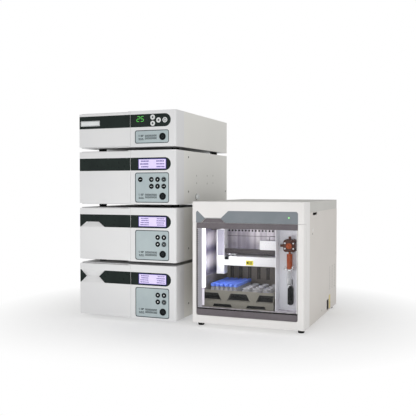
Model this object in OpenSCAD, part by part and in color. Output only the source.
// Liquid chromatograph: two pumps, a detector and a column oven in a stack, with an
// autosampler beside them. Millimetres, +Z up, +X to the right, fronts face -Y.
// The origin is at the bottom centre of the whole system's box.

/* [Stack housings] */
// Width of each stacked module
stack_w = 300; // [290:1:330]
// Depth of each stacked module, front to back
stack_d = 400; // [370:1:425]
// Height of a pump or detector module, without its feet
module_h = 148; // [146:1:165]
// Height of the column oven, without its feet
oven_h = 98; // [96:1:120]
// Free space between the stack and the autosampler
unit_gap = 47; // [20:1:80]
// Thickness of the folded steel sheet
sheet_t = 1.5; // [1:0.1:2]
// How far the steel cover sits inside the moulded front, each side
cover_inset = 0.6; // [0.3:0.1:1]
// Depth of the moulded front section
bezel_d = 54; // [52:1:62]
// Wall of the moulded front section
bezel_wall = 3; // [2.5:0.1:3.5]
// Radius of the front right upright edge
corner_r = 6; // [3:0.5:9]

/* [Feet] */
// Height of the rubber feet
foot_h = 9; // [7:0.5:12]
// Radius of the stack's rubber feet
foot_r = 11; // [9:0.5:16]
// Distance of a stack foot's middle from the module's side
foot_side = 34; // [25:1:60]
// Distance of a front foot's middle from the module's front
foot_front = 72; // [60:1:110]
// Distance of a rear foot's middle from the module's back
foot_rear = 32; // [25:1:60]
// Radius of the autosampler's rubber feet
small_foot_r = 9; // [7:0.5:12]
// Distance of an autosampler foot's middle from its side
small_foot_side = 14; // [13:0.5:40]
// Distance of an autosampler foot's middle from its front or back
small_foot_front = 30; // [20:1:60]

/* [Module doors] */
// Width of the control section beside a module's door
control_w = 137; // [130:1:150]
// Thickness of a module's door over its rim
door_t = 12; // [11:0.5:14]
// Skin and rim wall of the doors
door_wall = 3; // [2.5:0.1:3.5]
// Upright gap between a door and the control section
seam_gap = 0.6; // [0.5:0.1:1.2]
// Running gap above, below and behind a door
door_gap = 0.4; // [0.3:0.1:0.8]
// Radius of the free upright edge of a door
door_edge_r = 2; // [1:0.2:3]
// Distance of the hinge axis from the door's front and edge
pivot_in = 2.2; // [2:0.1:2.6]
// Thickness of the hinge tabs above and below a door
tab_t = 2; // [1.6:0.1:3]
// Radius of the hinge pins
pin_r = 1; // [0.8:0.05:1.1]
// How far a hinge pin reaches into a door
pin_reach = 8; // [5:0.5:12]
// Radial running clearance of pins and knobs in their bores
run_fit = 0.05; // [0.02:0.01:0.1]

/* [Dark stripe and displays] */
// Height of the dark stripe across door and display
stripe_h = 35; // [30:0.5:38]
// Distance of the stripe below the top of a pump or detector
stripe_drop = 20.3; // [16:0.1:24]
// Distance of the stripe below the top of the oven
oven_stripe_drop = 9.5; // [7:0.1:12]
// Thickness of the stripe film on a door
film_t = 0.6; // [0.4:0.1:1]
// Depth of films below the surface round them
film_sink = 0.2; // [0.1:0.05:0.4]
// Distance of the stripe's round end from the module's right side
stripe_end_in = 15; // [12:0.5:20]
// Thickness of a display window
window_t = 1.6; // [1.2:0.1:2]
// Depth of windows and keypads below the moulded front
panel_sink = 0.6; // [0.5:0.1:0.9]
// Width of the liquid crystal display
lcd_w = 84; // [70:1:90]
// Height of the liquid crystal display
lcd_h = 28; // [22:0.5:28.5]
// Distance of the display's right edge from the stripe's round end
lcd_in = 14.5; // [12:0.5:20]

/* [Keypads and power buttons] */
// Width of a keypad
pad_w = 102.5; // [96:0.5:108]
// Height of a pump or detector keypad
pad_h = 82; // [78:0.5:84]
// Height of the oven's keypad
oven_pad_h = 36; // [33:0.5:38]
// Distance of a keypad from the module's right side
pad_in = 20.5; // [16:0.5:24]
// Height of a keypad above the bottom of a pump or detector
pad_rise = 5; // [4:0.5:7]
// Height of the keypad above the bottom of the oven
oven_pad_rise = 9; // [6:0.5:12]
// Corner radius of the keypads
pad_r = 6; // [3:0.5:8]
// Thickness of a keypad
pad_t = 0.8; // [0.6:0.1:1.2]
// Radius of the raised keys
key_r = 7.2; // [6:0.1:8]
// Height of the raised keys
key_rise = 0.4; // [0.2:0.05:0.45]
// Distance between neighbouring keys
key_pitch = 18.6; // [17:0.1:20]
// Distance of the last key from the keypad's right edge
key_in = 15.6; // [13:0.1:20]
// Distance of the first row of keys from the keypad's top
key_drop = 19; // [15:0.5:24]
// Radius of a power button
power_r = 9.5; // [8:0.1:10.5]
// Distance of the power button from the keypad's right edge
power_in = 19.4; // [15:0.1:24]
// Distance of the power button from the keypad's bottom
power_rise = 17.6; // [14:0.1:19]
// Side clearance round a power button
power_gap = 0.4; // [0.3:0.05:0.6]

/* [Finger scoops] */
// Width of a scoop where it meets the door's surface
scoop_wide = 77; // [66:1:80]
// Width of a scoop at its deepest line
scoop_waist = 40; // [30:1:50]
// Depth of a scoop
scoop_d = 8.5; // [6:0.5:8.5]
// Distance of a scoop's middle from the door's free edge
scoop_x = 42.3; // [41:0.1:60]
// Height of the single ramp in the upper pump's door
ramp_h = 14.5; // [10:0.5:18]

/* [Pump fittings] */
// Side of a square pump head
head_w = 32; // [26:1:36]
// How far a pump head stands out from its plate
head_d = 33; // [28:1:36]
// Height of the heads' middle above the module's bottom
head_z = 62; // [56:1:66]
// Width over flats of the check valve cartridges
valve_hex = 13; // [10:0.5:16]
// Length of a check valve cartridge
valve_len = 15; // [10:0.5:18]
// Side of the purge valve block
purge_w = 26; // [22:1:30]
// Radius of the purge knob
knob_r = 10.5; // [8:0.5:12]
// Length of the purge knob
knob_len = 13; // [10:0.5:15]
// Radius of the stem that the purge knob turns on
stem_r = 3; // [2.5:0.1:4]

/* [Column and flow cell] */
// Radius of the separation column
column_r = 4.8; // [3.5:0.1:6]
// Room at each end of the column
column_room = 11.5; // [6:0.5:24]
// Length of each end nut
nut_len = 12; // [9:0.5:14]
// Width over flats of the end nuts
nut_hex = 14; // [12:0.5:16]
// Height of the column heater block
heater_h = 52; // [44:1:60]
// Radius of the detector's flow cell body
cell_r = 19; // [14:0.5:22]
// Length of the detector's flow cell body
cell_len = 26; // [18:0.5:30]

/* [Autosampler housing] */
// Width of the autosampler
sampler_w = 302; // [298:1:330]
// Depth of the autosampler, front to back
sampler_d = 435; // [400:1:480]
// Height of the autosampler, with its feet
sampler_h = 332; // [328:1:350]
// Thickness of the housing's walls
case_t = 2; // [1.5:0.1:3]
// Height of the top cover's side skirt
cover_h = 27; // [20:1:32]
// Depth of the moulded front section
front_d = 62; // [60:1:66]
// Height of the line where door and fascia meet
split_z = 276.7; // [272:0.1:280]
// Width of the front section's uprights behind the door
upright_w = 12; // [8:1:13]
// Side of the top fascia's inset, from the left edge
inset_left = 10.8; // [8:0.1:13]
// Side of the top fascia's inset, from the right edge
inset_right = 16.2; // [13:0.1:18]
// Height of the fascia's inset
band_h = 31; // [26:0.5:34]
// Thickness of the fascia's inset
band_t = 2.4; // [1.6:0.1:3]
// Corner radius of the inset and the pane
inset_r = 6; // [4:0.5:9]
// Left end of the white tab's top edge
tab_x = 15; // [13:0.5:22]
// Width of the white tab at its top
tab_wide = 86; // [76:1:90]
// Width of the white tab at its bottom
tab_narrow = 46; // [38:1:52]
// Height of the white tab
tab_h = 18.5; // [15:0.5:20]

/* [Autosampler door] */
// Thickness of the autosampler's door
sdoor_t = 20; // [18:0.5:22]
// Height of the door's bottom rail
sdoor_rail = 20; // [16:0.5:24]
// Thickness of the clear pane
pane_t = 3; // [2:0.1:4]
// Depth of the pane below the door's front
pane_sink = 1; // [0.5:0.1:2]
// Width of the ledge that the pane is bonded to
pane_ledge = 4; // [3:0.5:6]
// Distance of the hinge axis from the door's right side and back
spivot_in = 6; // [5:0.5:8]
// Radius of the door's hinge pins
spin_r = 2; // [1.5:0.1:3]

/* [Sample chamber] */
// Depth at which the chamber's lining starts
liner_y = 24; // [22:1:30]
// Depth at which the chamber's lining ends
liner_back = 232; // [228:1:290]
// Height of the chamber's floor
floor_z = 50; // [44:1:54]
// Height of the chamber's ceiling
ceiling_z = 262; // [258:1:268]
// Thickness of the chamber's lining
liner_t = 2; // [1.5:0.1:3]
// Height of the cooled well's walls
well_h = 77; // [66:1:84]
// Height of the cooled well's rear wall
well_back_h = 95; // [84:1:98]
// Depth at which the cooled well starts
well_y = 55; // [53:1:62]
// Distance of the partition from the chamber's left side
partition_x = 209; // [206:1:214]
// Depth at which the service panel stands
panel_y = 60; // [58:1:62]

/* [Valve and syringe] */
// Distance of the valve's axis from the partition
service_x = 32.5; // [28:0.5:36]
// Height of the valve's axis
valve_z = 219; // [205:1:225]
// Radius of the valve body
valve_r = 19; // [15:0.5:20]
// Thickness of the valve body
valve_t = 22; // [18:0.5:24]
// Radius of the valve's turning hub
hub_r = 7.5; // [6:0.5:9]
// Distance of the syringe's axis in front of the panel
syringe_out = 16; // [15.5:0.1:18]
// Outer radius of the syringe's glass barrel
barrel_r = 7; // [5:0.1:7.5]
// Bore radius of the glass barrel
bore_r = 4.6; // [3.5:0.1:5]
// Length of the glass barrel
barrel_len = 42; // [30:1:44]
// Length of the amber adapter above the barrel
adapter_len = 34; // [26:1:36]
// Length of the plunger's stroke
stroke = 32; // [15:1:33]
// Width of the plunger drive's bar
bar_w = 14; // [10:0.5:18]
// Length of the plunger drive's bar
bar_len = 48; // [40:1:52]

/* [Needle gantry] */
// Depth of the bridge's front face at rest
bridge_y = 118; // [112:1:126]
// Depth of the bridge's beam, front to back
beam_d = 20; // [14:1:24]
// Height of the bridge beam's underside
beam_z = 153; // [150:1:158]
// Height of the bridge beam
beam_h = 25; // [20:1:28]
// Width of the bridge's left hanger
mast_w = 23; // [18:1:26]
// Distance of the hanger from the chamber's left side
mast_in = 10.5; // [8:0.5:12]
// Height of the needle head
head_box_h = 25; // [18:1:28]
// Width of the needle head
head_box_w = 64; // [50:1:66]
// Radius of the sampling needle
needle_r = 0.7; // [0.5:0.1:1]

/* [Trays and vials] */
// Radius of a sample vial
vial_r = 5.8; // [5:0.1:5.9]
// Height of a sample vial, without its cap
vial_h = 27; // [22:0.5:28]
// Distance between neighbouring vials
vial_pitch = 13.4; // [13:0.1:14]
// Vials across the sample rack
vial_cols = 6; // [3:1:6]
// Vials from front to back
vial_rows = 10; // [3:1:10]
// Radius of a vial's cap
cap_r = 5.9; // [5:0.1:6.2]
// Height of a vial's cap
cap_h = 8; // [5:0.5:9]
// Radius of a reagent bottle
bottle_r = 12; // [9:0.5:13]
// Distance between neighbouring bottles
bottle_pitch = 29; // [27.5:0.5:30]
// Height of a reagent bottle
bottle_h = 26; // [20:1:34]
// Height of the lower tray
base_h = 19.5; // [16:0.5:22]
// Height of the upper tray's front plate
tray_h = 27; // [22:0.5:28]
// Wall of the trays
tray_t = 2; // [1.5:0.1:2.5]
// Height of the finger notches in the tray fronts
notch_h = 15; // [10:0.5:16]

/* [Hidden] */
$fn = 32;

// Overall box and the places of the units in it
total_w = stack_w + unit_gap + sampler_w;
total_d = max(stack_d, sampler_d);
step_z = module_h + foot_h;
pump_b_z = foot_h;
pump_a_z = pump_b_z + step_z;
detector_z = pump_a_z + step_z;
oven_z = detector_z + step_z;

// Kinds of module: height, stripe's lower edge, keypad height and rise
TALL = [module_h, module_h - stripe_drop - stripe_h, pad_h, pad_rise];
LOW = [oven_h, oven_h - oven_stripe_drop - stripe_h, oven_pad_h, oven_pad_rise];

// Module doors
door_w = stack_w - control_w;
bezel_y = door_t + door_gap;
door_z0 = tab_t + door_gap;
control_x = door_w + seam_gap;
pivot = [door_w - pivot_in, pivot_in];
door_rim = 2 * pivot_in + 0.8;
film_cut = film_t + film_sink;
tab_reach = 5;

// Displays, keypads and buttons
stripe_tip = stack_w - stripe_end_in;
window_cut = window_t + panel_sink;
pad_x = stack_w - pad_in - pad_w;
pad_cut = pad_t + panel_sink;
key_col = pad_x + pad_w - key_in;
power_x = pad_x + pad_w - power_in;
power_y = 0.4;
flange_y = bezel_wall + 0.3;
flange_t = 1.6;
flange_over = 1.5;
stem_back = 14;

// Autosampler: front section, door and chamber
chamber_l = upright_w;
chamber_r = sampler_w - upright_w;
in_l = chamber_l + liner_t;
in_r = chamber_r - liner_t;
inset_w = sampler_w - inset_left - inset_right;
sdoor_z0 = foot_h + tab_t + door_gap;
sdoor_h = split_z - sdoor_z0;
spivot = [sampler_w - spivot_in, sdoor_t - spivot_in];
pane_z0 = sdoor_z0 + sdoor_rail;
tongue_h = tab_h < band_h ? band_h - tab_h - 2 : 0;
partition = chamber_l + partition_x;
part_t = 1.5;
service = [partition + service_x, panel_y - syringe_out];
valve_core_r = valve_r - 3;
neck_len = 5;
collar_h = 6;
adapter_top = valve_z - valve_core_r - neck_len;
barrel_top = adapter_top - adapter_len - collar_h;
barrel_bottom = barrel_top - barrel_len;
bar_top = barrel_bottom - 4;
bar_bottom = bar_top - bar_len;

// Gantry
rail_w = 10;
rail_h = 8;
beam_l = in_l + mast_in;
beam_r = in_r - 6;
mast_top = ceiling_z - rail_h - 0.3;
guide_z = beam_z + beam_h + 9;
guide_h = 12;
head_z0 = guide_z + guide_h + 0.3;
head_left = in_l + 139;

// Trays stand inside the cooled well
well_l = in_l;
well_r = partition - 2;
well_t = 2;
tray_gap = 1.5;
tray_l = well_l + well_t + tray_gap;
tray_r = well_r - well_t - tray_gap;
tray_y0 = liner_y + 3;
tray_y1 = liner_back - liner_t - well_t - 8;
tray_z0 = floor_z + base_h;
rack_z = tray_z0 + 15;
vial_x0 = tray_l + tray_t + 8;
vial_y0 = tray_y0 + 53;
bottle_x0 = vial_x0 + (vial_cols - 1) * vial_pitch + vial_r + bottle_r + 10;

function arc(c, r, a0, a1, n = 6) = [for (i = [0:n]) c + r * [cos(a0 + (a1 - a0) * i / n), sin(a0 + (a1 - a0) * i / n)]];
function bar_end(x0, x1, h) = concat([[x0, 0]], arc([x1 - h / 2, h / 2], h / 2, -90, 90, 24), [[x0, h]]);
function soft_box(w, h, r) = concat(
    arc([r, r], r, 180, 270), arc([w - r, r], r, 270, 360),
    arc([w - r, h - r], r, 0, 90), arc([r, h - r], r, 90, 180));

// A box between two corners
module block(lo, hi) {
    translate(lo) cube(hi - lo);
}

// An upright plate drawn in X and Z, t thick, with its front at depth y
module plate(y, t) {
    translate([0, y + t, 0]) rotate([90, 0, 0]) linear_extrude(t) children();
}

// A cylinder along Y from depth y
module peg(x, y, z, r, l) {
    translate([x, y + l, z]) rotate([90, 0, 0]) cylinder(r = r, h = l);
}

module at_stack(z) {
    translate([-total_w / 2, -total_d / 2, z]) children();
}

module at_sampler() {
    translate([-total_w / 2 + stack_w + unit_gap, -total_d / 2, 0]) children();
}

// ---- Stacked modules, drawn with the left front bottom corner at zero ----

// Folded cover: top and two sides
module cover(kind) {
    h = kind[0];
    color("gainsboro") difference() {
        block([cover_inset, bezel_d, 0], [stack_w - cover_inset, stack_d, h]);
        block([cover_inset + sheet_t, bezel_d - 1, -1],
              [stack_w - cover_inset - sheet_t, stack_d + 1, h - sheet_t]);
    }
}

// Chassis: bottom, front plate and rear panel, with the mains inlet and fan slots
module chassis(kind) {
    h = kind[0];
    x0 = cover_inset + sheet_t;
    x1 = stack_w - x0;
    inlet = [28, 20, 16];
    inlet_x = 60;
    inlet_z = 22;
    fan_x = stack_w - 80;
    fan_z = (h - sheet_t) / 2;
    color("silver") difference() {
        union() {
            block([x0, bezel_d, 0], [x1, stack_d, sheet_t]);
            block([x0, bezel_d, 0], [x1, bezel_d + sheet_t, h - sheet_t]);
            block([x0, stack_d - sheet_t, 0], [x1, stack_d, h - sheet_t]);
            block([inlet_x - 3, stack_d - inlet[2] - 3, inlet_z - 3],
                  [inlet_x + inlet[0] + 3, stack_d, inlet_z + inlet[1] + 3]);
        }
        block([inlet_x, stack_d - inlet[2], inlet_z], [inlet_x + inlet[0], stack_d + 1, inlet_z + inlet[1]]);
        for (i = [-4:4])
            block([fan_x - sqrt(30 * 30 - 36 * i * i), stack_d - sheet_t - 1, fan_z + 6 * i - 1.5],
                  [fan_x + sqrt(30 * 30 - 36 * i * i), stack_d + 1, fan_z + 6 * i + 1.5]);
    }
    color("dimgray") for (dx = [7, 14, 21])
        peg(inlet_x + dx, stack_d - inlet[2], inlet_z + inlet[1] / 2, 1.6, 12);
}

module bezel_outline() {
    polygon(concat([[0, bezel_y], [control_x, bezel_y], [control_x, 0]],
        arc([stack_w - corner_r, corner_r], corner_r, -90, 0, 10),
        [[stack_w, bezel_d], [0, bezel_d]]));
}

// Moulded front section: door compartment at the left, control section at the right
module bezel(kind) {
    h = kind[0];
    color("whitesmoke") difference() {
        union() {
            linear_extrude(h) bezel_outline();
            for (z = [0, h - tab_t])
                block([pivot[0] - tab_reach, film_sink, z], [control_x, bezel_y, z + tab_t]);
        }
        block([bezel_wall, bezel_y - 1, bezel_wall], [door_w - bezel_wall, bezel_d + 1, h - bezel_wall]);
        block([control_x + bezel_wall, bezel_wall, bezel_wall],
              [stack_w - bezel_wall, bezel_d + 1, h - bezel_wall]);
        translate([0, 0, kind[1]]) plate(-1, window_cut + 1) polygon(bar_end(control_x - 1, stripe_tip, stripe_h));
        translate([pad_x, 0, kind[3]]) plate(-1, pad_cut + 1) polygon(soft_box(pad_w, kind[2], pad_r));
        peg(power_x, -1, kind[3] + power_rise, power_r + power_gap, bezel_wall + 2);
        for (z = [-1, h - tab_t - 1])
            translate([pivot[0], pivot[1], z]) cylinder(r = pin_r + 0.02, h = tab_t + 2);
    }
}

module door_outline(inset) {
    r0 = door_edge_r - inset;
    r1 = pivot_in - inset;
    polygon(concat(arc([door_edge_r, door_edge_r], r0, 180, 270),
        arc([door_w - pivot_in, pivot_in], r1, 270, 360, 8),
        [[door_w - inset, door_t], [inset, door_t]]));
}

// Outlines of the finger scoops, as seen from the front, from the stripe's lower edge
module ramp_outline(h) {
    polygon([[scoop_x - scoop_wide / 2, 0], [scoop_x + scoop_wide / 2, 0],
             [scoop_x + scoop_waist / 2, h], [scoop_x - scoop_waist / 2, h]]);
}

// A ramp that starts at the door's surface and runs inwards as it rises by h
module ramp_cut(h) {
    intersection() {
        plate(-1, scoop_d + 1) ramp_outline(h);
        rotate([90, 0, 90]) linear_extrude(door_w)
            polygon([[-1, 0], [0, 0], [scoop_d, h], [-1, h]]);
    }
}

// scoops: 0 for none, 1 for one ramp under the stripe, 2 for two facing ramps
module scoop_cut(scoops) {
    if (scoops == 1) ramp_cut(ramp_h);
    if (scoops == 2) {
        ramp_cut(stripe_h / 2);
        translate([0, 0, stripe_h]) mirror([0, 0, 1]) ramp_cut(stripe_h / 2);
    }
}

module scoop_outline(scoops) {
    if (scoops == 1) ramp_outline(ramp_h);
    if (scoops == 2) {
        ramp_outline(stripe_h / 2);
        translate([0, stripe_h]) mirror([0, 1]) ramp_outline(stripe_h / 2);
    }
}

module door(kind, scoops) {
    h = kind[0] - 2 * door_z0;
    color("whitesmoke") difference() {
        translate([0, 0, door_z0]) linear_extrude(h) door_outline(0);
        difference() {
            block([door_wall, door_wall, door_z0 + door_wall],
                  [door_w - door_rim, door_t + 1, door_z0 + h - door_wall]);
            if (scoops > 0)
                block([scoop_x - scoop_wide / 2 - 1, 0, kind[1] - 2],
                      [scoop_x + scoop_wide / 2 + 2, door_t, kind[1] + stripe_h + 2]);
        }
        translate([0, 0, kind[1]]) block([-1, -1, 0], [door_w + 1, film_cut, stripe_h]);
        translate([0, 0, kind[1]]) scoop_cut(scoops);
        for (z = [door_z0 - 1, door_z0 + h - pin_reach - 0.5])
            translate([pivot[0], pivot[1], z]) cylinder(r = pin_r + run_fit, h = pin_reach + 1.5);
    }
}

module door_stripe(kind, scoops) {
    color("#262d2b") translate([0, 0, kind[1]]) difference() {
        linear_extrude(stripe_h) intersection() {
            door_outline(film_sink);
            square([door_w, film_cut]);
        }
        plate(-1, film_cut + 2) scoop_outline(scoops);
    }
}

module power_button(kind) {
    z = kind[3] + power_rise;
    color("#20262a") difference() {
        union() {
            peg(power_x, power_y, z, power_r, flange_y - power_y + flange_t);
            peg(power_x, flange_y, z, power_r + flange_over, flange_t);
            peg(power_x, flange_y, z, power_r - 3, stem_back);
        }
        peg(power_x, power_y - 1, z, power_r - 2.5, 1.4);
    }
}

module display_window(kind) {
    color("#262d2b") translate([0, 0, kind[1]]) difference() {
        plate(panel_sink, window_t) polygon(bar_end(control_x, stripe_tip, stripe_h));
        if (kind == TALL)
            block([stripe_tip - lcd_in - lcd_w, -1, (stripe_h - lcd_h) / 2],
                  [stripe_tip - lcd_in, panel_sink + 0.6, (stripe_h + lcd_h) / 2]);
    }
    if (kind == LOW)
        color("lightgray") for (k = oven_keys())
            peg(k[0], panel_sink - key_rise, kind[1] + k[1], key_r, key_rise);
}

// Middles of the oven's four keys, from the stripe's lower edge
function oven_keys() = [
    [stripe_tip - 2.9 * key_pitch, stripe_h / 2 + 0.45 * key_pitch],
    [stripe_tip - 2.9 * key_pitch, stripe_h / 2 - 0.45 * key_pitch],
    [stripe_tip - 1.95 * key_pitch, stripe_h / 2],
    [stripe_tip - stripe_h / 2, stripe_h / 2]];

// Keys of a keypad, as columns and rows counted from the top right
DETECTOR_KEYS = [[0, 0], [1, 0], [2, 0], [3.8, 0], [0, 1], [1, 1], [2, 1]];
PUMP_KEYS = [[0, 0], [1, 0], [0, 1], [1, 1]];

module keypad(kind, keys) {
    top = kind[3] + kind[2] - key_drop;
    color("#adb9bb") difference() {
        translate([pad_x, 0, kind[3]]) plate(panel_sink, pad_t) polygon(soft_box(pad_w, kind[2], pad_r));
        peg(power_x, -1, kind[3] + power_rise, power_r + power_gap, bezel_wall);
    }
    color("#10191c") for (k = keys)
        peg(key_col - k[0] * key_pitch, panel_sink - key_rise, top - k[1] * key_pitch, key_r, key_rise);
}

// The two pins of a door's hinge, each held in a tab
module door_pins(h) {
    l = tab_t + door_gap + pin_reach;
    for (z = [0, h - l])
        translate([pivot[0], pivot[1], z]) cylinder(r = pin_r, h = l);
}

module feet(w, side, ys, r) {
    for (x = [side, w - side], y = ys)
        translate([x, y, 0]) {
            cylinder(r1 = r - 1.5, r2 = r, h = foot_h / 2);
            translate([0, 0, foot_h / 2]) cylinder(r = r, h = foot_h / 2);
        }
}

// ---- Fittings behind the doors ----

fitting_gap = (door_w - 2 * bezel_wall - 2 * head_w - purge_w) / 4;
head_1 = bezel_wall + fitting_gap + head_w / 2;
head_xs = [head_1, head_1 + head_w + fitting_gap];
head_y = bezel_d - head_d;
purge_at = [door_w - bezel_wall - fitting_gap - purge_w / 2, head_z + head_w / 2 + 24];
purge_d = 20;
knob_y = bezel_d - purge_d - 0.4 - knob_len;

// One pump's two heads and its purge valve block, on the chassis front plate
module pump_head_set() {
    color("silver") for (x = head_xs) difference() {
        union() {
            block([x - head_w / 2, head_y, head_z - head_w / 2], [x + head_w / 2, bezel_d, head_z + head_w / 2]);
            peg(x, head_y - 3, head_z, head_w / 2 - 3, 4);
        }
        for (sx = [-1, 1], sz = [-1, 1])
            peg(x + sx * (head_w / 2 - 4.5), head_y - 1, head_z + sz * (head_w / 2 - 4.5), 2.2, 5);
    }
    color("silver") {
        block([purge_at[0] - purge_w / 2, bezel_d - purge_d, purge_at[1] - purge_w / 2],
              [purge_at[0] + purge_w / 2, bezel_d, purge_at[1] + purge_w / 2]);
        peg(purge_at[0], knob_y + 3, purge_at[1], stem_r, bezel_d - purge_d - knob_y - 2);
    }
}

// Inlet and outlet check valve of each head: hexagon body and tube nut
module check_valve_set() {
    color("lightsteelblue") for (x = head_xs, s = [-1, 1])
        translate([x, head_y + head_d / 2, head_z + s * head_w / 2]) mirror([0, 0, s < 0 ? 1 : 0]) {
            cylinder(r = valve_hex / sqrt(3), h = valve_len, $fn = 6);
            translate([0, 0, valve_len]) cylinder(r = valve_hex / 3.2, h = 7);
        }
}

// Fluted knob on the purge valve's stem
module purge_knob() {
    color("#2d3236") difference() {
        peg(purge_at[0], knob_y, purge_at[1], knob_r, knob_len);
        peg(purge_at[0], knob_y + 2.6, purge_at[1], stem_r + run_fit, knob_len);
        for (a = [0:30:330])
            peg(purge_at[0] + (knob_r + 0.7) * cos(a), knob_y - 1, purge_at[1] + (knob_r + 0.7) * sin(a), 1.6, knob_len - 3);
    }
}

column_at = [door_w / 2, bezel_d - 16, (oven_h - 4) / 2];
stub_len = 5;
column_len = door_w - 2 * (column_room + nut_len + stub_len);

module along_x(l, r, fn = 32) {
    translate([column_at[0] - l / 2, column_at[1], column_at[2]]) rotate([0, 90, 0]) cylinder(r = r, h = l, $fn = fn);
}

module column_parts() {
    color("silver") {
        along_x(column_len, column_r);
        for (s = [-1, 1]) translate([s * (column_len + nut_len) / 2, 0, 0]) {
            along_x(nut_len, nut_hex / sqrt(3), 6);
            translate([s * (nut_len + stub_len) / 2, 0, 0]) along_x(stub_len, nut_hex / 4);
        }
    }
}

// Heater block with a half-round cradle and two spring clips round the column
module heater_parts() {
    clip_w = 8;
    cx = column_at[0];
    grip = column_r + 1.6;
    color("lightgray") difference() {
        union() {
            block([cx - column_len / 2 + 4, column_at[1] + 1, column_at[2] - heater_h / 2],
                  [cx + column_len / 2 - 4, bezel_d, column_at[2] + heater_h / 2]);
            for (x = [cx - column_len / 3, cx + column_len / 3])
                block([x - clip_w / 2, column_at[1] - 3, column_at[2] - grip],
                      [x + clip_w / 2, column_at[1] + 2, column_at[2] + grip]);
        }
        along_x(column_len + 2, column_r + run_fit);
    }
}

cell_at = [door_w / 2, module_h / 2 - 6];

// Detector flow cell: mounting block, round cell body and two tube fittings
module flow_cell_parts() {
    y0 = bezel_d - 12;
    color("silver") {
        block([cell_at[0] - cell_r - 8, y0, cell_at[1] - cell_r - 8], [cell_at[0] + cell_r + 8, bezel_d, cell_at[1] + cell_r + 8]);
        difference() {
            peg(cell_at[0], y0 - cell_len + 4, cell_at[1], cell_r, cell_len - 4);
            peg(cell_at[0], y0 - cell_len + 3, cell_at[1], cell_r - 7, 4);
        }
        for (s = [-1, 1])
            peg(cell_at[0] + s * (cell_r / 2 - 2), y0 - cell_len, cell_at[1], 3, 7);
    }
}

// ---- Autosampler, drawn with the left front corner at zero ----

split_gap = 0.6;
header_z = split_z + split_gap;
header_wall = 4;
header_front = 8;
band_y = 0.6;
pane_back = pane_sink + pane_t;

module sampler_outline(y0, y1, right_back) {
    polygon(concat(arc([3, y0 + 3], 3, 180, 270), arc([sampler_w - corner_r, y0 + corner_r], corner_r, 270, 360, 10),
        right_back > 0 ? arc([sampler_w - right_back, y1 - right_back], right_back, 0, 90, 8) : [[sampler_w, y1]],
        [[0, y1]]));
}

// Outlines in the fascia, from the inset's lower left corner
module inset_outline() {
    polygon(concat([[0, 0], [inset_w, 0]], arc([inset_w - inset_r, band_h - inset_r], inset_r, 0, 90),
        arc([inset_r, band_h - inset_r], inset_r, 90, 180)));
}

module tab_outline() {
    x0 = tab_x - inset_left;
    slope = (tab_wide - tab_narrow) / 2;
    polygon([[x0, band_h + 1], [x0, band_h], [x0 + slope, band_h - tab_h],
             [x0 + slope + tab_narrow, band_h - tab_h], [x0 + tab_wide, band_h], [x0 + tab_wide, band_h + 1]]);
}

// The pane's grip tongue, widened by a clearance
module tongue_outline(gap) {
    x0 = tab_x - inset_left + (tab_wide - tab_narrow) / 2;
    polygon([[x0 - tongue_h - gap, -5], [x0 - tongue_h - gap, 0], [x0 + 2 - gap / 2, tongue_h + gap],
             [x0 + tab_narrow - 2 + gap / 2, tongue_h + gap], [x0 + tab_narrow + tongue_h + gap, 0],
             [x0 + tab_narrow + tongue_h + gap, -5]]);
}

// Moulded front: header with the fascia's inset, and the ring behind the door
module sampler_front() at_sampler() {
    ring_y = sdoor_t + door_gap;
    relief_r = 1.5 * spivot_in;
    color("whitesmoke") difference() {
        union() {
            translate([0, 0, header_z]) linear_extrude(sampler_h - header_z) sampler_outline(0, front_d, 0);
            translate([0, 0, foot_h]) linear_extrude(header_z - foot_h) polygon(concat(
                [[0, ring_y]], arc([sampler_w - relief_r, ring_y + relief_r], relief_r, 270, 360),
                [[sampler_w, front_d], [0, front_d]]));
            block([spivot[0] - 8, spivot[1] - 6, foot_h], [sampler_w - 1, ring_y + relief_r, foot_h + tab_t]);
        }
        block([header_wall, header_front, header_z + header_wall],
              [sampler_w - header_wall, front_d + 1, sampler_h - header_wall]);
        block([chamber_l, ring_y - 1, floor_z - liner_t], [chamber_r, front_d + 1, ceiling_z + liner_t]);
        block([header_wall, ring_y + header_wall, foot_h + header_wall],
              [sampler_w - header_wall, front_d + 1, floor_z - liner_t - header_wall]);
        translate([inset_left, 0, header_z]) plate(-1, band_y + band_t + 1) difference() {
            union() {
                inset_outline();
                translate([0, -1]) square([inset_w, 2]);
            }
            tab_outline();
        }
        translate([inset_left, 0, header_z]) plate(-1, header_front - 0.6) tongue_outline(1.2);
        peg(inset_left + lamp_at[0], -1, header_z + lamp_at[1], lamp_r, 7);
        for (z = [foot_h - 1, header_z - 1])
            translate([spivot[0], spivot[1], z]) cylinder(r = spin_r + 0.02, h = header_wall + 2);
    }
}

lamp_r = 2.2;
lamp_at = [inset_w - 23.4, band_h / 2];

module fascia_band() at_sampler() {
    color("#7c8184") difference() {
        translate([inset_left, 0, header_z]) plate(band_y, band_t) difference() {
            inset_outline();
            tab_outline();
            tongue_outline(1.2);
        }
        peg(inset_left + lamp_at[0], -1, header_z + lamp_at[1], lamp_r, 7);
    }
}

module status_lamp() at_sampler() {
    color("limegreen") peg(inset_left + lamp_at[0], band_y - 0.3, header_z + lamp_at[1], lamp_r, 5.6);
}

top_bar = 15;

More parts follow.
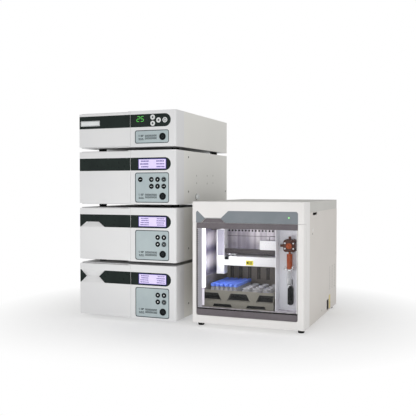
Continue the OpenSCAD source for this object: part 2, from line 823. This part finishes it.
module sampler_door() at_sampler() {
    color("whitesmoke") difference() {
        translate([0, 0, sdoor_z0]) linear_extrude(sdoor_h) sampler_outline(0, sdoor_t, spivot_in);
        block([inset_left + pane_ledge, -1, pane_z0 + pane_ledge],
              [sampler_w - inset_right - pane_ledge, sdoor_t + 1, split_z - top_bar]);
        translate([inset_left, 0, pane_z0]) plate(-1, pane_back + 1) pane_outline(split_z - pane_z0 + 1);
        for (z = [sdoor_z0 - 1, split_z - pin_reach - 0.5])
            translate([spivot[0], spivot[1], z]) cylinder(r = spin_r + run_fit, h = pin_reach + 1.5);
    }
}

module pane_outline(h) {
    polygon(concat(arc([inset_r, inset_r], inset_r, 180, 270), arc([inset_w - inset_r, inset_r], inset_r, 270, 360),
        [[inset_w, h], [0, h]]));
}

// Clear pane with the grip tongue that reaches up in front of the fascia
module sampler_pane() at_sampler() {
    color("lightblue", 0.4) translate([inset_left, 0, pane_z0]) plate(pane_sink, pane_t) {
        pane_outline(split_z - pane_z0);
        translate([0, header_z - pane_z0]) tongue_outline(0);
    }
}

// Folded steel housing behind the front section
module sampler_case() at_sampler() {
    top = sampler_h - cover_h;
    vent_w = 90;
    color("#bfbbb4") difference() {
        block([0, front_d, foot_h], [sampler_w, sampler_d, top]);
        block([case_t, front_d - 1, foot_h + case_t], [sampler_w - case_t, sampler_d - case_t, top + 1]);
        // Handle slot near the top of the right side
        translate([sampler_w - case_t - 1, 0, top]) rotate([90, 0, 90]) linear_extrude(case_t + 2)
            polygon([[97, -8.5], [143, -8.5], [149, -2], [97, -2]]);
        // Ventilation holes, low at the back of the right side
        for (i = [0:2], j = [0:8])
            translate([sampler_w - case_t - 1, sampler_d - 105 + i * 36, 70 + j * 8])
                rotate([0, 90, 0]) cylinder(r = 2, h = case_t + 2, $fn = 24);
        // Cable cut-out at the bottom of the right side
        block([sampler_w - case_t - 1, sampler_d - 149, foot_h + 4],
              [sampler_w + 1, sampler_d - 119, foot_h + 34]);
        // Fan slots in the rear wall
        for (i = [-5:5])
            block([(sampler_w - vent_w) / 2, sampler_d - case_t - 1, top / 2 + 9 * i - 2],
                  [(sampler_w + vent_w) / 2, sampler_d + 1, top / 2 + 9 * i + 2]);
    }
}

module sampler_top_cover() at_sampler() {
    color("#d8d6d0") difference() {
        block([0.5, front_d, sampler_h - cover_h], [sampler_w - 0.5, sampler_d - 0.5, sampler_h]);
        block([case_t + 0.5, front_d - 1, sampler_h - cover_h - 1],
              [sampler_w - case_t - 0.5, sampler_d - case_t - 0.5, sampler_h - case_t]);
    }
}

// Steel lining of the chamber, open at the front
module chamber_liner() at_sampler() {
    color("gainsboro") difference() {
        block([chamber_l, liner_y, floor_z - liner_t], [chamber_r, liner_back, ceiling_z + liner_t]);
        block([in_l, liner_y - 1, floor_z], [in_r, liner_back - liner_t, ceiling_z]);
        for (i = [0:13])
            peg(in_l + 8 + i * 10.3, liner_back - liner_t - 1, ceiling_z - 19, 2.2, liner_t + 2);
    }
}

// Dark well that cools the trays: left, rear and right walls
module cooler_well() at_sampler() {
    back = liner_back - liner_t;
    color("#55574f") difference() {
        union() {
            block([well_l, well_y, floor_z], [well_l + well_t, back, floor_z + well_h]);
            block([well_r - well_t, well_y, floor_z], [well_r, back, floor_z + well_h]);
            block([well_l, back - well_t, floor_z], [well_r, back, floor_z + well_back_h]);
        }
        for (i = [0:6], dx = [0, 5.6])
            block([well_l + 14 + i * 27.6 + dx, back - well_t - 1, floor_z + 52],
                  [well_l + 16.4 + i * 27.6 + dx, back + 1, floor_z + well_back_h - 8]);
    }
}

module light_strip() at_sampler() {
    color("white") block([in_l, liner_y + 10, tray_z0 + tray_h + 2], [in_l + 4, well_y - 3, ceiling_z - 3]);
}

// Partition and service panel, folded from one sheet
module service_panel() at_sampler() {
    color("#b9bcc4") difference() {
        union() {
            block([partition, liner_y, floor_z], [partition + part_t, panel_y + part_t, ceiling_z]);
            block([partition, panel_y, floor_z], [in_r, panel_y + part_t, ceiling_z]);
            block([in_r - part_t, panel_y, floor_z], [in_r, panel_y + 12, ceiling_z]);
        }
        peg(service[0], panel_y - 1, valve_z, valve_r / 2 + 0.3, part_t + 2);
        translate([service[0] - 5, panel_y + part_t + 1, bar_bottom + 12]) rotate([90, 0, 0])
            linear_extrude(part_t + 2) polygon(soft_box(10, 24 + stroke, 4.9));
    }
}

// Valve body: core with four lobes, two ports and a boss through the panel
module valve_body() at_sampler() {
    y0 = panel_y - valve_t;
    color("#3a2a26") difference() {
        union() {
            peg(service[0], y0, valve_z, valve_core_r, valve_t);
            for (a = [45:90:315])
                peg(service[0] + (valve_r - 6) * cos(a), y0 + 3, valve_z + (valve_r - 6) * sin(a), 7, valve_t - 3);
            peg(service[0], panel_y - 1, valve_z, valve_r / 2, 10);
            translate([service[0], y0 + 8, valve_z]) cylinder(r = 3.6, h = valve_r + 5);
            translate([service[0], y0 + 8, valve_z]) rotate([0, -90, 0]) cylinder(r = 3.6, h = valve_r + 6);
        }
        peg(service[0], y0 - 1, valve_z, hub_r + run_fit, 13);
    }
}

module valve_hub() at_sampler() {
    y0 = panel_y - valve_t;
    color("#9c3b16") difference() {
        peg(service[0], y0 - 3, valve_z, hub_r, 14.8);
        block([service[0] - 1, y0 - 4, valve_z - hub_r - 1], [service[0] + 1, y0 - 1.8, valve_z + hub_r + 1]);
    }
}

// Amber adapter between valve and syringe, with its neck and lower collar
module syringe_adapter() at_sampler() {
    color("#9c3b16") translate([service[0], service[1], 0]) {
        translate([0, 0, adapter_top]) cylinder(r = 3, h = neck_len);
        translate([0, 0, adapter_top - adapter_len]) cylinder(r = 7.3, h = adapter_len);
        translate([0, 0, barrel_top]) cylinder(r = 8.6 / sqrt(3) * 1.6, h = collar_h, $fn = 6);
    }
}

module syringe_barrel() at_sampler() {
    color("aliceblue", 0.5) translate([service[0], service[1], barrel_bottom]) difference() {
        cylinder(r = barrel_r, h = barrel_len);
        translate([0, 0, -1]) cylinder(r = bore_r, h = barrel_len - 1);
    }
}

// Plunger rod with its tip, and the drive's bar, foot and guide tongue
module syringe_plunger() at_sampler() {
    bar_y = service[1] + barrel_r + 1.3;
    bar_t = panel_y - 1.3 - bar_y;
    foot_top = bar_bottom + 12;
    color("#1b1c1e") {
        translate([service[0] - bar_w / 2, 0, bar_bottom]) plate(bar_y, bar_t)
            polygon(soft_box(bar_w, bar_len, bar_w / 2 - 0.2));
        block([service[0] - 4, service[1] - 4, bar_bottom + 4], [service[0] + 4, bar_y + 0.5, foot_top]);
        block([service[0] - 4, bar_y + bar_t - 0.5, bar_bottom + 14], [service[0] + 4, panel_y + 14, bar_bottom + 34]);
    }
    color("silver") translate([service[0], service[1], foot_top - 0.5]) {
        cylinder(r = 1.6, h = barrel_bottom + 2 - foot_top + 1);
        translate([0, 0, barrel_bottom + 2 - foot_top]) cylinder(r = bore_r - run_fit, h = 5);
    }
}

// ---- Needle gantry ----

rail_left = beam_l + (mast_w - rail_w) / 2;
rail_right = beam_r - (mast_w + rail_w) / 2;
flange_w = 3;
flange_reach = 26;
saddle_t = 5;
saddle_reach = 34;
hanger_t = 4;
hanger_drop = 25;
beam_step = 24;
beam_drop = 10;
pulley_r = 4.6;
guide_y = bridge_y + hanger_t;

module gantry_rails() at_sampler() {
    color("dimgray") for (x = [rail_left, rail_right])
        block([x, panel_y + part_t, ceiling_z - rail_h], [x + rail_w, liner_back - liner_t, ceiling_z]);
}

// A hanger of the bridge: upright plate, inner flange and saddle under the rail
module hanger(x, z0, flange_x) {
    block([x, bridge_y, z0], [x + mast_w, bridge_y + hanger_t, mast_top]);
    block([flange_x, bridge_y, z0], [flange_x + flange_w, bridge_y + flange_reach, mast_top]);
    block([x, bridge_y, mast_top - saddle_t], [x + mast_w, bridge_y + saddle_reach, mast_top]);
}

module bridge_beam() at_sampler() {
    x0 = beam_l + mast_w / 2 + 1.5;
    color("white") {
        hanger(beam_l, beam_z - hanger_drop, beam_l + mast_w - flange_w);
        hanger(beam_r - mast_w, beam_z, beam_r - mast_w);
        difference() {
            union() {
                block([x0, bridge_y - 2, beam_z], [beam_r, bridge_y + beam_d - 2, beam_z + beam_h - beam_drop]);
                block([x0 + beam_step, bridge_y - 2, beam_z], [beam_r, bridge_y + beam_d - 2, beam_z + beam_h]);
            }
            block([x0 + 3, bridge_y + 1, beam_z + 3], [beam_r - 3, bridge_y + beam_d, beam_z + beam_h - beam_drop - 3]);
        }
    }
}

// Guide rail, lead screw and belt pulleys between the hangers
module bridge_guide() at_sampler() {
    x0 = beam_l + mast_w;
    x1 = beam_r - mast_w;
    screw_z = beam_z + beam_h + 5;
    color("#4a4346") block([x0, guide_y, guide_z], [x1, guide_y + 12, guide_z + guide_h]);
    color("silver") {
        translate([x0, guide_y + 6, screw_z]) rotate([0, 90, 0]) cylinder(r = 3, h = x1 - x0);
        for (x = [x0 + 3, x1 - 9])
            translate([x, guide_y + 6, screw_z]) rotate([0, 90, 0]) cylinder(r = pulley_r, h = 6);
    }
}

needle_tip_z = beam_z - 3;
needle_top_z = ceiling_z - 6;
slide_x = head_left + 7;
slide_y = bridge_y + beam_d + 10;

// Needle head: housing over the guide rail, with two bushes behind it
module needle_head() at_sampler() {
    plate_y = bridge_y + beam_d + 2.5;
    top = head_z0 + head_box_h;
    bush_z = beam_z + 3;
    color("white") difference() {
        union() {
            block([head_left, bridge_y - 8, head_z0], [head_left + head_box_w, plate_y + 2.5, top]);
            block([slide_x - 7, plate_y, bush_z], [slide_x + 7, plate_y + 2.5, top]);
            for (z = [bush_z, top - 6])
                block([slide_x - 7, plate_y, z], [slide_x + 7, slide_y + 5, z + 6]);
        }
        translate([slide_x, slide_y, beam_z]) cylinder(r = needle_r + run_fit, h = top);
    }
}

// Steel needle with its drive block
module needle() at_sampler() {
    top = head_z0 + head_box_h - 6.5;
    color("silver") {
        translate([slide_x, slide_y, needle_tip_z]) cylinder(r = needle_r, h = needle_top_z - needle_tip_z);
        block([slide_x - 5, slide_y - 4.7, top - 10], [slide_x + 5, slide_y + 4.7, top]);
    }
}

// ---- Trays and vials ----

// Finger notch in a tray's front plate, open below
module notch(x, w, h) {
    polygon([[x - w / 2, -1], [x + w / 2, -1], [x + w / 2, 0], [x + w / 2 - h / 2, h], [x - w / 2 + h / 2, h], [x - w / 2, 0]]);
}

module tray_base() at_sampler() {
    w = tray_r - tray_l;
    color("#6b6a5c") {
        block([tray_l, tray_y0, floor_z], [tray_r, tray_y1, floor_z + tray_t]);
        for (x = [tray_l, tray_r - tray_t])
            block([x, tray_y0, floor_z], [x + tray_t, tray_y1, tray_z0]);
        block([tray_l, tray_y1 - tray_t, floor_z], [tray_r, tray_y1, tray_z0]);
        translate([tray_l, 0, floor_z + tray_t]) plate(tray_y0, tray_t) difference() {
            square([w, base_h - tray_t]);
            for (x = [0.29, 0.76]) notch(w * x, w * 0.28, base_h * 0.42);
        }
    }
}

module sample_tray() at_sampler() {
    w = tray_r - tray_l;
    color("#6b6a5c") difference() {
        union() {
            block([tray_l, tray_y0, tray_z0], [tray_r, tray_y1, tray_z0 + tray_t]);
            for (x = [tray_l, tray_r - tray_t])
                block([x, tray_y0, tray_z0], [x + tray_t, tray_y1, rack_z]);
            block([tray_l, vial_y0 - bottle_r - 6, rack_z - tray_t], [tray_r, tray_y1, rack_z]);
            for (y = [vial_y0 - bottle_r - 6, tray_y1 - tray_t])
                block([tray_l, y, tray_z0], [tray_r, y + tray_t, rack_z]);
            translate([tray_l, 0, tray_z0]) plate(tray_y0, tray_t) square([w, tray_h]);
        }
        translate([tray_l, 0, tray_z0]) plate(tray_y0 - 1, tray_t + 2) for (x = [0.12, 0.52, 0.92])
            notch(w * x, w * 0.3, notch_h);
        at_vials() translate([0, 0, rack_z - tray_t - 1]) cylinder(r = vial_r + 0.3, h = tray_t + 2);
        at_bottles() translate([0, 0, rack_z - tray_t - 1]) cylinder(r = bottle_r + 0.3, h = tray_t + 2);
    }
}

module at_vials() {
    for (i = [0:vial_cols - 1], j = [0:vial_rows - 1])
        translate([vial_x0 + i * vial_pitch, vial_y0 + j * vial_pitch, 0]) children();
}

module at_bottles() {
    for (i = [0:2], j = [0:3])
        translate([bottle_x0 + i * bottle_pitch, vial_y0 + 6 + j * bottle_pitch, 0]) children();
}

module vials() at_sampler() {
    z = tray_z0 + tray_t;
    color("azure", 0.6) {
        at_vials() translate([0, 0, z]) cylinder(r = vial_r, h = vial_h, $fn = 24);
        at_bottles() translate([0, 0, z]) {
            cylinder(r = bottle_r, h = bottle_h - 6);
            translate([0, 0, bottle_h - 6]) cylinder(r = bottle_r - 3, h = 6);
        }
    }
}

module vial_caps() at_sampler() {
    color("royalblue") at_vials() translate([0, 0, tray_z0 + tray_t + vial_h]) cylinder(r = cap_r, h = cap_h, $fn = 24);
}

// ---- One module for each sub-part of the stack ----

module oven_cover() at_stack(oven_z) cover(LOW);

module detector_cover() at_stack(detector_z) difference() {
    cover(TALL);
    color("gainsboro") for (y = [147, 229, 277], z = [61, 82])
        translate([stack_w - cover_inset - sheet_t - 1, y, z]) rotate([0, 90, 0]) cylinder(r = 1.6, h = sheet_t + 2);
}

module pump_a_cover() at_stack(pump_a_z) cover(TALL);

module pump_b_cover() at_stack(pump_b_z) cover(TALL);

module oven_chassis() at_stack(oven_z) chassis(LOW);

module detector_chassis() at_stack(detector_z) chassis(TALL);

module pump_a_chassis() at_stack(pump_a_z) chassis(TALL);

module pump_b_chassis() at_stack(pump_b_z) chassis(TALL);

module oven_bezel() at_stack(oven_z) bezel(LOW);

module detector_bezel() at_stack(detector_z) bezel(TALL);

module pump_a_bezel() at_stack(pump_a_z) bezel(TALL);

module pump_b_bezel() at_stack(pump_b_z) bezel(TALL);

module oven_door() at_stack(oven_z) door(LOW, 0);

module detector_door() at_stack(detector_z) door(TALL, 0);

module pump_a_door() at_stack(pump_a_z) door(TALL, 1);

module pump_b_door() at_stack(pump_b_z) door(TALL, 2);

module oven_door_stripe() at_stack(oven_z) door_stripe(LOW, 0);

module detector_door_stripe() at_stack(detector_z) door_stripe(TALL, 0);

module pump_a_door_stripe() at_stack(pump_a_z) door_stripe(TALL, 1);

module pump_b_door_stripe() at_stack(pump_b_z) door_stripe(TALL, 2);

module oven_power_button() at_stack(oven_z) power_button(LOW);

module detector_power_button() at_stack(detector_z) power_button(TALL);

module pump_a_power_button() at_stack(pump_a_z) power_button(TALL);

module pump_b_power_button() at_stack(pump_b_z) power_button(TALL);

module display_windows() {
    at_stack(oven_z) display_window(LOW);
    for (z = [detector_z, pump_a_z, pump_b_z]) at_stack(z) display_window(TALL);
}

module keypads() {
    at_stack(oven_z) keypad(LOW, []);
    at_stack(detector_z) keypad(TALL, DETECTOR_KEYS);
    for (z = [pump_a_z, pump_b_z]) at_stack(z) keypad(TALL, PUMP_KEYS);
}

module hinge_pins() color("silver") {
    at_stack(oven_z) door_pins(oven_h);
    for (z = [detector_z, pump_a_z, pump_b_z]) at_stack(z) door_pins(module_h);
    at_sampler() for (z = [[foot_h, sdoor_z0 + pin_reach], [split_z - pin_reach, header_z + header_wall]])
        translate([spivot[0], spivot[1], z[0]]) cylinder(r = spin_r, h = z[1] - z[0]);
}

module rubber_feet() color("#1c1c1c") {
    for (z = [pump_b_z, pump_a_z, detector_z, oven_z]) at_stack(z - foot_h)
        feet(stack_w, foot_side, [foot_front, stack_d - foot_rear], foot_r);
    at_sampler() feet(sampler_w, small_foot_side, [small_foot_front, sampler_d - small_foot_front], small_foot_r);
}

module pump_heads() for (z = [pump_a_z, pump_b_z]) at_stack(z) pump_head_set();

module check_valves() for (z = [pump_a_z, pump_b_z]) at_stack(z) check_valve_set();

module pump_a_purge_knob() at_stack(pump_a_z) purge_knob();

module pump_b_purge_knob() at_stack(pump_b_z) purge_knob();

module column() at_stack(oven_z) column_parts();

module column_heater() at_stack(oven_z) heater_parts();

module flow_cell() at_stack(detector_z) flow_cell_parts();

// ---- The nodes ----

oven_cover();
detector_cover();
pump_a_cover();
pump_b_cover();
oven_chassis();
detector_chassis();
pump_a_chassis();
pump_b_chassis();
oven_bezel();
detector_bezel();
pump_a_bezel();
pump_b_bezel();
oven_door();
detector_door();
pump_a_door();
pump_b_door();
oven_door_stripe();
detector_door_stripe();
pump_a_door_stripe();
pump_b_door_stripe();
oven_power_button();
detector_power_button();
pump_a_power_button();
pump_b_power_button();
display_windows();
keypads();
hinge_pins();
rubber_feet();
pump_heads();
check_valves();
pump_a_purge_knob();
pump_b_purge_knob();
column();
column_heater();
flow_cell();
sampler_case();
sampler_top_cover();
sampler_front();
fascia_band();
status_lamp();
sampler_door();
sampler_pane();
chamber_liner();
cooler_well();
light_strip();
service_panel();
valve_body();
valve_hub();
syringe_adapter();
syringe_barrel();
syringe_plunger();
gantry_rails();
bridge_beam();
bridge_guide();
needle_head();
needle();
tray_base();
sample_tray();
vials();
vial_caps();
